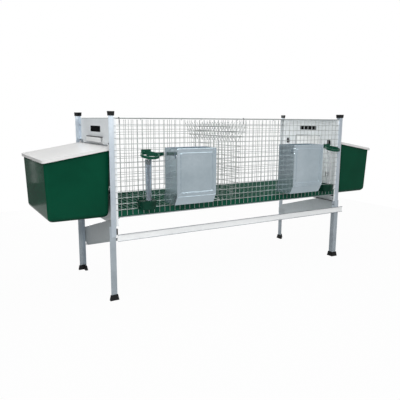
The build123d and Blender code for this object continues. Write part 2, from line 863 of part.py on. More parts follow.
def nest_hinges():
    # Two ears and a pin on each bracket, fixed to the outside of the end panel.
    ear_out = hinge_x - hinge_pin - hinge_ear_edge
    low = hinge_z - hinge_pin - hinge_ear_edge
    high = hinge_z + hinge_knuckle + hinge_ear_rise
    for y in (y_middle - hinge_side, y_middle + hinge_side):
        bracket = block(
            -half_length - hinge_ear, -half_length, y - hinge_ear_y, y + hinge_ear_y,
            hinge_z + hinge_knuckle + hinge_ear_gap, high,
        )
        for start in (y - hinge_ear_y - hinge_ear, y + hinge_ear_y):
            bracket += block(ear_out, -half_length, start, start + hinge_ear, low, high)
        pin = Cylinder(hinge_pin, 2 * (hinge_ear_y + hinge_ear))
        yield bracket + Pos(hinge_x, y, hinge_z) * Rot(90, 0, 0) * pin


def nest_hooks():
    # Black hooks on the tub that reach through the slots of the end panel.
    body = tub_form(0, 3)
    inside = panel_inner + gap
    tall = hook_slot_height - 2 * gap
    for side in (-1, 1):
        low_y = y_middle + side * hook_side - hook_neck_width / 2
        high_y = low_y + hook_neck_width
        for z in hook_slot_bottoms:
            low = z + gap
            neck = block(
                -half_length - tub_floor_gap, inside + hook_tongue,
                low_y, high_y, low, low + hook_neck_height,
            )
            foot_z = low - hook_tongue_drop
            tongue = block(inside, inside + hook_tongue, low_y, high_y, foot_z, foot_z + tall)
            yield neck + tongue - body


door_face = -half_length - slide_gap
door_top = doorway_top + door_head_lap
grip_half = door_width / 2 - guide_cover - slide_gap


def nest_door():
    half = door_width / 2
    low_y, high_y = y_middle - half, y_middle + half
    door = block(door_face - sheet, door_face, low_y, high_y, doorway_bottom - door_lap, door_top)
    edge = door_face - door_handle_out
    low_y, high_y = y_middle - grip_half, y_middle + grip_half
    door += block(edge, door_face, low_y, high_y, door_top - sheet, door_top)
    door += block(edge, edge + sheet, low_y, high_y, door_top - door_handle_drop, door_top)
    return door


def door_grip():
    # Black strip along the top of the folded handle.
    return block(
        door_face - door_handle_out, door_face, y_middle - grip_half, y_middle + grip_half,
        door_top, door_top + door_grip_height,
    )


def door_guides():
    wall = -half_length
    base = wall - sheet - 2 * slide_gap
    start = y_middle + door_width / 2 + slide_gap
    end = start + guide_base
    outline = [
        (wall, start), (base, start), (base, start - guide_cover), (base - sheet, start - guide_cover),
        (base - sheet, end), (wall, end),
    ]
    low = doorway_bottom - door_lap
    rail = prism(Plane.XY.offset(low), outline, doorway_top - guide_drop - low)
    return rail, to_rear(rail)


# Dung chute: sloping cheeks with a ledge, and the tray that slides on them

def along_chute(points, y0, y1):
    # Outline given as (x, z) at the front mesh, drawn down the slope from y0 to y1.
    start = Plane.XZ.offset(-y0)
    drop = (y0 - y_front) * chute_fall
    face = make_face(Polyline(*[(x, z - drop) for x, z in points], close=True))
    length = (y1 - y0) / cos(radians(chute_slope))
    return extrude(start * face, length, dir=(0, cos(radians(chute_slope)), -sin(radians(chute_slope))))


chute_ledge_z = chute_top - chute_wall - chute_band
cheek_end = y_back - post_leg - slide_gap


def chute_cheek():
    out = -half_length - chute_sheet
    kink = chute_top - chute_wall
    tuck = out + chute_tuck
    outline = [
        (out, chute_top), (out, kink), (tuck, chute_ledge_z), (tuck + chute_ledge, chute_ledge_z),
        (tuck + chute_ledge, chute_ledge_z + chute_sheet), (tuck + chute_sheet / 2, chute_ledge_z + chute_sheet),
        (out + chute_sheet, kink + chute_sheet / 2), (out + chute_sheet, chute_top),
    ]
    return along_chute(outline, y_front + post_leg + slide_gap, cheek_end)


def chute_straps():
    # Plates inside that join each cheek to the rear leg, thickened out to the leg's face.
    low = chute_top - (cheek_end - y_front) * chute_fall - (chute_wall + strap_height) / 2
    high = low + strap_height
    pad_start = cheek_end + slide_gap
    pad_end = pad_start + strap_pad
    strap = block(-half_length, -half_length + chute_sheet, cheek_end - strap_length, pad_end, low, high)
    strap += block(-half_length - leg_start, -half_length, pad_start, pad_end, low, high)
    return strap, other_end(strap)


def dung_tray():
    edge = half_length - chute_tuck - tray_side_gap
    low = chute_ledge_z + chute_sheet + gap
    outline = [
        (-edge, low + tray_rim), (-edge, low), (edge, low), (edge, low + tray_rim),
        (edge - sheet, low + tray_rim), (edge - sheet, low + sheet),
        (-edge + sheet, low + sheet), (-edge + sheet, low + tray_rim),
    ]
    front = y_front - lip_stand
    pan = along_chute(outline, front, y_back + tray_rear_reach)
    span = (-half_length + lip_left_gap, half_length + lip_right_reach)
    lip_bottom = lip_top - lip_height
    lip = block(*span, front - sheet, front, lip_bottom, lip_top)
    lip += block(*span, front - lip_hem, front, lip_top - sheet, lip_top)
    lip += block(*span, front - lip_hem, front, lip_bottom, lip_bottom + sheet)
    return pan + lip


def tray_catch():
    low = lip_top - sheet
    return block(
        -half_length, -half_length + catch_width, y_front, y_front + catch_depth, low, low + catch_height,
    )


def build():
    os.makedirs("parts", exist_ok=True)
    names = ("front_left", "front_right", "rear_left", "rear_right")
    for name, angle in zip(names, corners(post())):
        save("post_" + name, angle)
    for name, angle in zip(names, corners(leg())):
        save("leg_" + name, angle)
    save("post_caps", *corners(post_cap()))
    save("post_feet", *corners(foot()))
    save("post_bolts", *post_bolts())
    save("front_mesh", *front_mesh())
    save("rear_mesh", *rear_mesh())
    save("divider_mesh", *divider_mesh())
    rack = Compound(hay_rack_side())
    save("hay_rack_left", rack)
    save("hay_rack_right", rack.mirror(Plane.YZ.offset(divider_x)))
    save("roof_hinge_rings", *roof_hinge_rings())
    for name, span in zip(("left", "right"), roof_spans):
        save("roof_lid_" + name, *roof_lid(span))
        save("roof_latch_" + name, roof_latch(span))
    save("floor_left", floor_panel(panel_inner + slide_gap, divider_x - slide_gap))
    save("floor_right", floor_panel(divider_x + slide_gap, -panel_inner - slide_gap))
    save("floor_rail_front", floor_rail())
    save("floor_rail_rear", to_rear(floor_rail()))
    save("rail_shoes", *rail_shoes())
    for name, feeder_x, drinker_x in zip(("left", "right"), feeder_places, drinker_places):
        save("feeder_" + name, feeder(feeder_x))
        save("bottle_ring_" + name, bottle_ring(drinker_x))
        save("drinker_tube_" + name, drinker_tube(drinker_x))
        save("drinker_cup_" + name, drinker_cup(drinker_x))
    ends = {
        "end_panel": [end_panel()],
        "vent_plugs": list(vent_plugs()),
        "nest_tub": [nest_tub()],
        "nest_lid": [nest_lid()],
        "nest_hinges": list(nest_hinges()),
        "nest_hooks": list(nest_hooks()),
        "nest_door": [nest_door()],
        "door_grip": [door_grip()],
        "door_guides": list(door_guides()),
        "chute_cheek": [chute_cheek()],
    }
    for name, pieces in ends.items():
        save(name + "_left", *pieces)
        save(name + "_right", *[other_end(piece) for piece in pieces])
    save("chute_straps", *chute_straps())
    save("dung_tray", dung_tray())
    save("tray_catch", tray_catch())


build()
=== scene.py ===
import json
import math
import bpy
import bmesh
from mathutils import Matrix, Vector


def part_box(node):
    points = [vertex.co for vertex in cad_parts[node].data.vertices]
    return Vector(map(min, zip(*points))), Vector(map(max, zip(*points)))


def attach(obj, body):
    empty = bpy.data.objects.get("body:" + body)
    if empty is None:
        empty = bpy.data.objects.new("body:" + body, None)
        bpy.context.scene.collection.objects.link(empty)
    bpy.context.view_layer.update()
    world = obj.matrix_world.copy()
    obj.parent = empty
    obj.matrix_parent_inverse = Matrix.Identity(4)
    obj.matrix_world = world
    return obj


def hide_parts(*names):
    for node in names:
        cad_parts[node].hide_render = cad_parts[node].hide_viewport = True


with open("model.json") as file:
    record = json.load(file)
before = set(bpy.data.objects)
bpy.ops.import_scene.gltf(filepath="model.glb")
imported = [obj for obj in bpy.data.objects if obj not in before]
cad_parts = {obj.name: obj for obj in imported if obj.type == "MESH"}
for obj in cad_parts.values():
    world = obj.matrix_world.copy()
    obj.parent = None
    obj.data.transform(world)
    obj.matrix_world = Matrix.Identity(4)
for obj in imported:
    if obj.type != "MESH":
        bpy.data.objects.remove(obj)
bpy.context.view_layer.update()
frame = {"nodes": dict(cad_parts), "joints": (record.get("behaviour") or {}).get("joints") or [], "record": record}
nodes = frame["nodes"]
record = frame["record"]
bodyOf = {node: body for body, members in record["behaviour"]["bodies"].items() for node in members}
sides = ("left", "right")
mm = 0.001
print("frame loaded:", len(nodes), "nodes")


def srgb(hexText):
    channels = [int(hexText[i:i + 2], 16) / 255 for i in (1, 3, 5)]
    linear = [c / 12.92 if c <= 0.04045 else ((c + 0.055) / 1.055) ** 2.4 for c in channels]
    return (*linear, 1.0)


def addNode(tree, kind, settings=None, links=None):
    node = tree.nodes.new(kind)
    for name, value in (settings or {}).items():
        if name == "stops":     # both ends of a colour ramp: (place, colour)
            for mark, (place, colour) in zip(node.color_ramp.elements, value):
                mark.position, mark.color = place, srgb(colour)
        elif isinstance(name, str) and hasattr(node, name):
            setattr(node, name, value)
        else:
            node.inputs[name].default_value = value
    for name, source in (links or {}).items():
        tree.links.new(source, node.inputs[name])
    return node


def newMaterial(name):
    mat = bpy.data.materials.new(name)
    mat.use_nodes = True
    tree = mat.node_tree
    tree.nodes.clear()
    out = addNode(tree, "ShaderNodeOutputMaterial")
    return mat, tree, out


def perMetre(sizeMm):
    return 1000.0 / sizeMm


# Hot-dip galvanised steel: zinc crystals give a faint patchwork of greys under a soft sheen,
# and handling leaves paler and darker clouds. Each finish adds its own values to these.
zincLook = {"spangleShare": 0.14, "cloudDetail": 5.0, "cloudGrain": 0.6, "darkUpTo": 0.25, "lightFrom": 0.75,
            "smoother": 0.02, "rougher": 0.03, "waveDeepMm": 1.0, "shine": 0.5}


def galvanised(name, own):
    look = {**zincLook, **own}
    mat, tree, out = newMaterial(name)
    place = addNode(tree, "ShaderNodeTexCoord").outputs["Object"]
    spangle = addNode(tree, "ShaderNodeTexVoronoi", {"Scale": perMetre(look["spangleMm"])}, {"Vector": place})
    crystal = addNode(tree, "ShaderNodeSeparateColor", None, {"Color": spangle.outputs["Color"]})
    cloud = addNode(tree, "ShaderNodeTexNoise", {
        "Scale": perMetre(look["cloudMm"]), "Detail": look["cloudDetail"], "Roughness": look["cloudGrain"],
    }, {"Vector": place})
    blend = addNode(tree, "ShaderNodeMix", {"data_type": "FLOAT", "Factor": look["spangleShare"]},
                    {"A": cloud.outputs["Fac"], "B": crystal.outputs["Red"]})
    tone = addNode(tree, "ShaderNodeValToRGB", {
        "stops": [(look["darkUpTo"], look["dark"]), (look["lightFrom"], look["light"])],
    }, {"Fac": blend.outputs["Result"]})
    rough = addNode(tree, "ShaderNodeMapRange", {
        "To Min": look["rough"] - look["smoother"], "To Max": look["rough"] + look["rougher"],
    }, {"Value": blend.outputs["Result"]})
    wave = addNode(tree, "ShaderNodeTexNoise", {"Scale": perMetre(look["waveMm"]), "Detail": 0.0},
                   {"Vector": place})
    bump = addNode(tree, "ShaderNodeBump", {"Strength": look["bump"], "Distance": look["waveDeepMm"] * mm},
                   {"Height": wave.outputs["Fac"]})
    shader = addNode(tree, "ShaderNodeBsdfPrincipled", {
        "Metallic": look["metallic"], "Specular IOR Level": look["shine"],
    }, {
        "Base Color": tone.outputs["Color"], "Roughness": rough.outputs["Result"],
        "Normal": bump.outputs["Normal"],
    })
    tree.links.new(shader.outputs["BSDF"], out.inputs["Surface"])
    return mat


# Strip galvanised first and folded after: cool grey, with a soft sheen along its length
postZinc = galvanised("pregalvanised_angle", {
    "dark": "#bbc6d0", "light": "#d0d9e1", "rough": 0.34, "metallic": 0.75,
    "bump": 0.3, "waveMm": 90, "spangleMm": 7, "cloudMm": 90})
# The posts' zinc, the same cool grey a shade darker: painted shade for the legs, which stand low in the shade
# under the tubs
legZincPaintedShade = galvanised("galvanised_angle_painted_shade", {
    "dark": "#a9b4bc", "light": "#bcc6cd", "rough": 0.36, "metallic": 0.85,
    "bump": 0.3, "waveMm": 90, "spangleMm": 7, "cloudMm": 90})
# Passivated sheet: pale, spreading the light wide
panelZinc = galvanised("galvanised_panel_sheet", {
    "dark": "#d9dee1", "light": "#e8ecee", "rough": 0.44, "metallic": 0.2,
    "bump": 0.4, "waveMm": 160, "spangleMm": 9, "cloudMm": 130})
# Bright rolled sheet: a soft mirror of the wires and the floor beside it
feederZinc = galvanised("galvanised_hopper_sheet", {
    "dark": "#b7c7d0", "light": "#cbd9e1", "rough": 0.14, "metallic": 0.85,
    "bump": 0.5, "waveMm": 130, "spangleMm": 8, "cloudMm": 130, "spangleShare": 0.04})
# Zinc sheet in a flat middle grey, darker than the panels: painted shade for the low cheeks and rails under the
# tubs
cheekZincPaintedShade = galvanised("zinc_cheek_painted_shade", {
    "dark": "#a2a9ac", "light": "#b4bbbe", "rough": 0.42, "metallic": 0.75,
    "bump": 0.4, "waveMm": 160, "spangleMm": 9, "cloudMm": 130})
# Chalky zinc on the lids: evenly pale, with hardly any shine
lidZinc = galvanised("pale_zinc_lid", {
    "dark": "#cecece", "light": "#d7d7d6", "rough": 0.28, "metallic": 0.05,
    "bump": 0.4, "waveMm": 160, "spangleMm": 10, "cloudMm": 160, "shine": 0.05})
# New sheet of the tray and the nest doors: almost white, with a mild sheen
trayZinc = galvanised("bright_zinc_tray", {
    "dark": "#eceeef", "light": "#f6f8f8", "rough": 0.34, "metallic": 0.25,
    "bump": 0.4, "waveMm": 200, "spangleMm": 10, "cloudMm": 160})
# Drawn wire, dipped after welding: grey, shading quickly round its section
wireZinc = galvanised("galvanised_wire", {
    "dark": "#999e9d", "light": "#bfc4c3", "rough": 0.36, "metallic": 0.75,
    "bump": 0.2, "waveMm": 12, "spangleMm": 4, "cloudMm": 30})
# Bare steel kept from rust with oil: nearly black, with a thin sheen
hookSteel = galvanised("oiled_steel_hook", {
    "dark": "#2f3335", "light": "#4b5053", "rough": 0.38, "metallic": 0.8,
    "bump": 0.2, "waveMm": 6, "spangleMm": 3, "cloudMm": 20})
# Electroplated zinc: metal grey with small sharp lights
boltZinc = galvanised("zinc_plated_fastener", {
    "dark": "#868b90", "light": "#b4b9be", "rough": 0.3, "metallic": 1.0,
    "bump": 0.2, "waveMm": 6, "spangleMm": 3, "cloudMm": 20})


# Injection moulded plastic: smooth, with faint flow marks, a duller bloom where it has been handled,
# and a slight orange peel, drawn coarser than it is so that it shows. Each finish adds its own values.
mouldLook = {"ior": 1.49, "flowDetail": 4.0, "flowTwist": 0.6, "peelDetail": 2.0, "darkUpTo": 0.3,
             "lightFrom": 0.75, "smoother": 0.05, "rougher": 0.08, "peelDeepMm": 0.3}


def moulded(name, own):
    look = {**mouldLook, **own}
    mat, tree, out = newMaterial(name)
    place = addNode(tree, "ShaderNodeTexCoord").outputs["Object"]
    flow = addNode(tree, "ShaderNodeTexNoise", {
        "Scale": perMetre(look["flowMm"]), "Detail": look["flowDetail"], "Distortion": look["flowTwist"],
    }, {"Vector": place})
    peel = addNode(tree, "ShaderNodeTexNoise",
                   {"Scale": perMetre(look["peelMm"]), "Detail": look["peelDetail"]}, {"Vector": place})
    tint = addNode(tree, "ShaderNodeValToRGB", {
        "stops": [(look["darkUpTo"], look["dark"]), (look["lightFrom"], look["light"])],
    }, {"Fac": flow.outputs["Fac"]})
    rough = addNode(tree, "ShaderNodeMapRange", {
        "To Min": look["rough"] - look["smoother"], "To Max": look["rough"] + look["rougher"],
    }, {"Value": flow.outputs["Fac"]})
    bump = addNode(tree, "ShaderNodeBump", {"Strength": look["bump"], "Distance": look["peelDeepMm"] * mm},
                   {"Height": peel.outputs["Fac"]})
    shader = addNode(tree, "ShaderNodeBsdfPrincipled", {
        "IOR": look["ior"], "Specular IOR Level": look["shine"],
    }, {
        "Base Color": tint.outputs["Color"], "Roughness": rough.outputs["Result"],
        "Normal": bump.outputs["Normal"],
    })
    tree.links.new(shader.outputs["BSDF"], out.inputs["Surface"])
    return mat


# Polypropylene from a polished mould: deep green, with faint pictures of what stands near
tubGreen = moulded("green_polypropylene_tub", {
    "dark": "#023b29", "light": "#04432f", "rough": 0.1, "shine": 0.08,
    "bump": 0.06, "flowMm": 140, "peelMm": 7})
# Slats scuffed by claws: the green a little greyer, without gloss
floorGreen = moulded("green_polypropylene_slats", {
    "dark": "#0a4634", "light": "#0f503e", "rough": 0.36, "shine": 0.1,
    "bump": 0.2, "flowMm": 80, "peelMm": 4})
# Clean holder ring: more gloss along its edge
ringGreen = moulded("green_polypropylene_ring", {
    "dark": "#083a2b", "light": "#0c4a38", "rough": 0.26, "shine": 0.2,
    "bump": 0.1, "flowMm": 40, "peelMm": 3})
# Cups and plugs kept wet: darker
drinkerGreen = moulded("green_polypropylene_drinker", {
    "dark": "#052b20", "light": "#083a2b", "rough": 0.26, "shine": 0.15,
    "bump": 0.1, "flowMm": 40, "peelMm": 3})
# Polyethylene: soft black with a waxy sheen
blackPlastic = moulded("black_polyethylene", {
    "dark": "#0d0e0f", "light": "#191b1c", "rough": 0.4, "shine": 0.25,
    "bump": 0.2, "flowMm": 30, "peelMm": 2})
# Glass-filled nylon: matt black that gives nothing back
ventBlack = moulded("matt_black_nylon", {
    "dark": "#08090a", "light": "#101112", "rough": 0.7, "shine": 0.04,
    "bump": 0.2, "flowMm": 30, "peelMm": 2})
# Acetal: cool grey with a slippery gloss
valveGrey = moulded("grey_acetal_valve", {
    "dark": "#4f6077", "light": "#66778c", "rough": 0.35, "shine": 0.5,
    "bump": 0.1, "flowMm": 30, "peelMm": 3})


# Extruded polycarbonate: almost unseen while clean, and water scale clouds it in soft bands
tubeLook = {"ior": 1.58, "clear": 0.88, "bandMm": 18, "bandDetail": 4.0, "darkUpTo": 0.3, "lightFrom": 0.7,
            "smoothest": 0.04, "roughest": 0.1}


def clearTube(name, dark, light):
    mat, tree, out = newMaterial(name)
    place = addNode(tree, "ShaderNodeTexCoord").outputs["Object"]
    haze = addNode(tree, "ShaderNodeTexNoise",
                   {"Scale": perMetre(tubeLook["bandMm"]), "Detail": tubeLook["bandDetail"]},
                   {"Vector": place})
    tint = addNode(tree, "ShaderNodeValToRGB",
                   {"stops": [(tubeLook["darkUpTo"], dark), (tubeLook["lightFrom"], light)]},
                   {"Fac": haze.outputs["Fac"]})
    rough = addNode(tree, "ShaderNodeMapRange",
                    {"To Min": tubeLook["smoothest"], "To Max": tubeLook["roughest"]},
                    {"Value": haze.outputs["Fac"]})
    shader = addNode(tree, "ShaderNodeBsdfPrincipled",
                     {"IOR": tubeLook["ior"], "Transmission Weight": tubeLook["clear"]},
                     {"Base Color": tint.outputs["Color"], "Roughness": rough.outputs["Result"]})
    tree.links.new(shader.outputs["BSDF"], out.inputs["Surface"])
    return mat


tubeClouded = clearTube("clouded_polycarbonate", "#bac6cf", "#d3dce2")
tubeClean = clearTube("clean_polycarbonate", "#eef1f2", "#f8f9fa")
print("finishes ready:", len(bpy.data.materials))


sheetSmooth = 35    # degrees: edges blunter than this are shaded smooth
rodSmooth = 60
weldMm = 0.001      # corners of a CAD mesh that are closer than this are one


def addPiece(name, bm, finish, like, replaced=(), smoothAngle=sheetSmooth):
    # Makes the mesh an object that rides with the body of a CAD node.
    bm.normal_update()
    for edge in bm.edges:
        edge.smooth = len(edge.link_faces) == 2 and edge.calc_face_angle() < math.radians(smoothAngle)
    for face in bm.faces:
        face.smooth = True
    mesh = bpy.data.meshes.new(name)
    bm.to_mesh(mesh)
    bm.free()
    mesh.materials.append(finish)
    piece = bpy.data.objects.new(name, mesh)
    bpy.context.scene.collection.objects.link(piece)
    even = piece.modifiers.new("even_shading", "WEIGHTED_NORMAL")
    even.keep_sharp = True
    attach(piece, bodyOf[like])
    if replaced:
        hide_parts(*replaced)


def openNode(node):
    bm = bmesh.new()
    bm.from_mesh(nodes[node].data)
    bmesh.ops.remove_doubles(bm, verts=bm.verts, dist=weldMm * mm)
    bm.verts.ensure_lookup_table()
    return bm


# Folded sheet and moulded plastic have no knife edges: each piece's finish, and its round in mm
easeLook = {
    "post_front": (postZinc, 0.6), "post_rear": (postZinc, 0.6), "leg_": (legZincPaintedShade, 0.6),
    "post_caps": (blackPlastic, 1.0), "post_feet": (blackPlastic, 1.0), "rail_shoes": (blackPlastic, 0.8),
    "floor_rail": (cheekZincPaintedShade, 0.4), "floor_": (floorGreen, 0.8), "feeder": (feederZinc, 0.3),
    "bottle_ring": (ringGreen, 1.2), "drinker_cup": (drinkerGreen, 0.7), "end_panel": (panelZinc, 0.3),
    "vent_plugs": (ventBlack, 0.5), "nest_tub": (tubGreen, 0.9), "nest_lid": (lidZinc, 0.6),
    "nest_hinges": (boltZinc, 0.4), "nest_hooks": (blackPlastic, 0.6), "nest_door": (trayZinc, 0.3),
    "door_grip": (blackPlastic, 1.2), "door_guides": (panelZinc, 0.3), "chute": (cheekZincPaintedShade, 0.4),
    "dung_tray": (trayZinc, 0.3), "tray_catch": (blackPlastic, 0.9),
}
easeSteps = 2
easeFrom = 32       # degrees between the faces of an edge that gets a round
flatWithin = 0.6    # degrees between faces that are one flat face


def joinFlat(bm):
    # Joins the triangles of each flat face, but never all the way round a hole.
    flat = [edge for edge in bm.edges
            if len(edge.link_faces) == 2 and edge.calc_face_angle() < math.radians(flatWithin)]
    for edge in flat:
        if edge.is_valid and len(edge.link_faces) == 2:
            one, other = edge.link_faces
            if len(set(one.verts) & set(other.verts)) == 2:
                bmesh.utils.face_join((one, other), True)
    for vert in list(bm.verts):
        if len(vert.link_edges) == 2:
            near, far = (edge.other_vert(vert).co - vert.co for edge in vert.link_edges)
            if near.angle(far) > math.radians(180 - flatWithin):
                bmesh.utils.vert_dissolve(vert)


def easeEdges(node, finish, roundMm):
    bm = openNode(node)
    joinFlat(bm)
    hard = [edge for edge in bm.edges
            if len(edge.link_faces) == 2 and edge.calc_face_angle() > math.radians(easeFrom)]
    bmesh.ops.bevel(bm, geom=hard, offset=roundMm * mm, offset_type="OFFSET", segments=easeSteps,
                    profile=0.5, affect="EDGES", clamp_overlap=True)
    addPiece(node + "_eased", bm, finish, node, [node])


eased = 0
for node in sorted(nodes):
    key = next((k for k in easeLook if node.startswith(k)), None)
    if key:
        easeEdges(node, *easeLook[key])
        eased += 1
print("eased pieces:", eased)


def skinRings(bm, rings, closed=False):
    # Faces from ring to ring, and an end face on each open end.
    around = len(rings[0])
    for low, high in zip(rings, rings[1:] + (rings[:1] if closed else [])):
        for k in range(around):
            after = (k + 1) % around
            bm.faces.new((low[k], low[after], high[after], high[k]))
    if not closed:
        bm.faces.new(rings[0][::-1])
        bm.faces.new(rings[-1])


def wholeTurn(around):
    return [2 * math.pi * k / around for k in range(around)]


# Rods and wires: a round section carried along a line of points
def sweepRod(bm, path, radii, around, closed=False):
    rings = []
    normal = None
    last = len(path) - 1
    for i, point in enumerate(path):
        before = path[i - 1] if closed or i > 0 else point
        after = path[(i + 1) % len(path)] if closed or i < last else point
        along = (after - before).normalized()
        normal = along.orthogonal() if normal is None else normal - along * normal.dot(along)
        normal.normalize()
        across = along.cross(normal)
        rings.append([bm.verts.new(point + (normal * math.cos(t) + across * math.sin(t)) * radii[i])
                      for t in wholeTurn(around)])
    skinRings(bm, rings, closed)


def straightRod(bm, start, end, radius, tip, tipShare, around):
    # Both ends narrow to a share of the radius over the length of the tip.
    along = (end - start).normalized()
    path = [start, start + along * tip, end - along * tip, end]
    sweepRod(bm, path, [radius * tipShare, radius, radius, radius * tipShare], around)


bendSteps = 5
bendRoom = 0.49     # share of a straight run that one bend may take


def bendPath(points, radius, closed=False):
    # Straight runs joined by arcs, as a rod is bent round a former.
    count = len(points)
    path = []
    for i, corner in enumerate(points):
        if not closed and i in (0, count - 1):
            path.append(corner)
            continue
        back = points[i - 1] - corner
        ahead = points[(i + 1) % count] - corner
        half = back.angle(ahead) / 2
        reach = min(radius / math.tan(half), bendRoom * back.length, bendRoom * ahead.length)
        start, end = corner + back.normalized() * reach, corner + ahead.normalized() * reach
        middle = corner + (back.normalized() + ahead.normalized()).normalized() * reach / math.cos(half)
        for k in range(bendSteps + 1):
            spoke = (start - middle).slerp(end - middle, k / bendSteps)     # unit length
            path.append(middle + spoke * (start - middle).length)
    return path


def bentLoop(bm, corners, bend, radius, around):
    path = bendPath(corners, bend, closed=True)
    sweepRod(bm, path, [radius] * len(path), around, closed=True)


# Welded mesh: drawn round wire, each run sunk a little into the wires that it crosses
wireLook = {"radiusMm": 1.25, "around": 8, "tipMm": 0.5, "tipShare": 0.7}
wireNodes = ("front_mesh", "rear_mesh", "divider_mesh", "hay_rack_left", "hay_rack_right",
             "roof_lid_left", "roof_lid_right")


def islands(bm):
    # The points of each separate solid in a mesh.
    bm.verts.index_update()
    seen = set()
    for first in bm.verts:
        if first.index in seen:
            continue
        seen.add(first.index)
        group = [first]
        for vert in group:
            for edge in vert.link_edges:
                other = edge.other_vert(vert)
                if other.index not in seen:
                    seen.add(other.index)
                    group.append(other)
        yield [vert.co.copy() for vert in group]


def middleOf(points):
    return sum(points, Vector()) / len(points)


def wireRuns(node):
    bm = openNode(node)
    for points in islands(bm):
        middle = middleOf(points)
        axis = max((p - middle for p in points), key=lambda v: v.length).normalized()
        low = [p for p in points if (p - middle).dot(axis) < 0]
        high = [p for p in points if (p - middle).dot(axis) >= 0]
        yield middleOf(low), middleOf(high)
    bm.free()


def weldedMesh(node):
    bm = bmesh.new()
    radius, tip = wireLook["radiusMm"] * mm, wireLook["tipMm"] * mm
    for start, end in wireRuns(node):
        straightRod(bm, start, end, radius, tip, wireLook["tipShare"], wireLook["around"])
    addPiece(node + "_wires", bm, wireZinc, node, [node], rodSmooth)


for node in wireNodes:
    weldedMesh(node)
print("welded meshes:", len(wireNodes))


# Drop hooks of the roof lids: bent over the front wire, hanging in front of the mesh;
# the tail and the toe are measured in radii of the rod
latchLook = {"radiusMm": 1.3, "bendMm": 2.6, "around": 10, "tail": 3.4, "toeOut": 2.0, "toeUp": 3.0}


def dropHook(side):
    node = "roof_latch_" + side
    low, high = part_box(node)
    r = latchLook["radiusMm"] * mm
    x = (low.x + high.x) / 2
    back, top = high.y - r, high.z - r
    toe, bottom = low.y + r, low.z + r
    shank = toe + latchLook["toeOut"] * r
    lines = [(back, top - latchLook["tail"] * r), (back, top), (shank, top),
             (shank, bottom + latchLook["toeUp"] * r), (toe, bottom)]
    path = bendPath([Vector((x, y, z)) for y, z in lines], latchLook["bendMm"] * mm)
    bm = bmesh.new()
    sweepRod(bm, path, [r] * len(path), latchLook["around"])
    addPiece(node + "_rod", bm, hookSteel, node, [node], rodSmooth)


# Rings that tie the roof lids to the rear mesh, closed round both wires
ringLook = {"radiusMm": 0.8, "bendMm": 2.2, "around": 8}


def hingeRings():
    node = "roof_hinge_rings"
    source = openNode(node)
    bm = bmesh.new()
    r = ringLook["radiusMm"] * mm
    for points in islands(source):
        low = Vector([min(p[i] for p in points) for i in range(3)])
        high = Vector([max(p[i] for p in points) for i in range(3)])
        x = (low.x + high.x) / 2
        near, far, bottom, top = low.y + r, high.y - r, low.z + r, high.z - r
        lines = [(near, bottom), (far, bottom), (far, top), (near, top)]
        bentLoop(bm, [Vector((x, y, z)) for y, z in lines], ringLook["bendMm"] * mm, r, ringLook["around"])
    source.free()
    addPiece(node + "_bent", bm, boltZinc, node, [node], rodSmooth)


for side in sides:
    dropHook(side)
hingeRings()


# Bolts: hexagon heads with a washer face outside, washer, nut and rounded end inside
boltLook = {"headMm": 9.0, "nutMm": 8.0, "washerMm": 5.6, "washerThickMm": 0.5, "easeMm": 0.5,
            "endMm": 1.2, "endEaseMm": 0.6, "seatShare": 0.97, "topShare": 0.82, "neckShare": 0.45,
            "endShare": 0.7, "hexagon": 6, "washerAround": 16, "neckAround": 12}


def turned(bm, axis, place, profile, around):
    # Solid of revolution: profile is (distance along the axis, radius).
    normal = axis.orthogonal().normalized()
    across = axis.cross(normal)
    spokes = [normal * math.cos(t) + across * math.sin(t) for t in wholeTurn(around)]
    skinRings(bm, [[bm.verts.new(place + axis * along + spoke * radius) for spoke in spokes]
                   for along, radius in profile])


def postBolts():
    node = "post_bolts"
    source = openNode(node)
    bm = bmesh.new()
    ease, thick, washer, end, endEase = (
        boltLook[k] * mm for k in ("easeMm", "washerThickMm", "washerMm", "endMm", "endEaseMm"))
    head, nut = (boltLook[k] * mm / math.sqrt(3) for k in ("headMm", "nutMm"))     # across flats to corners
    neck, topShare = boltLook["neckShare"] * head, boltLook["topShare"]
    for points in islands(source):
        middle = middleOf(points)
        outward = Vector((math.copysign(1, middle.x), 0, 0))
        reach = [(p - middle).dot(outward) for p in points]
        face, tail = max(reach), min(reach)
        marks = sorted({round(v, 5) for v in reach})
        headBase, nutBase = marks[-2], marks[1]
        turned(bm, outward, middle, [(headBase, head * boltLook["seatShare"]), (headBase + ease, head),
                                     (face - ease, head), (face, head * topShare)], boltLook["hexagon"])
        turned(bm, outward, middle, [(headBase, washer), (headBase + thick, washer)],
               boltLook["washerAround"])
        turned(bm, outward, middle, [(tail, nut * topShare), (tail + ease, nut), (nutBase, nut)],
               boltLook["hexagon"])
        turned(bm, outward, middle, [(nutBase - thick, washer), (nutBase, washer)],
               boltLook["washerAround"])
        turned(bm, outward, middle, [(tail - end, neck * boltLook["endShare"]), (tail - endEase, neck),
                                     (headBase, neck)], boltLook["neckAround"])
    source.free()
    addPiece(node + "_turned", bm, boltZinc, node, [node])


postBolts()
print("hooks, rings and bolts ready")


# Vent grilles: one thin black plate outside each end panel, on its four plugs; the nest door slides past it
grilleLook = {"marginMm": 2.5, "thickMm": 0.45, "roundMm": 0.2, "cornerMm": 3.0, "sunkMm": 0.1,
              "cornerSteps": 4}
quarters = ((1, 1), (-1, 1), (-1, -1), (1, -1))


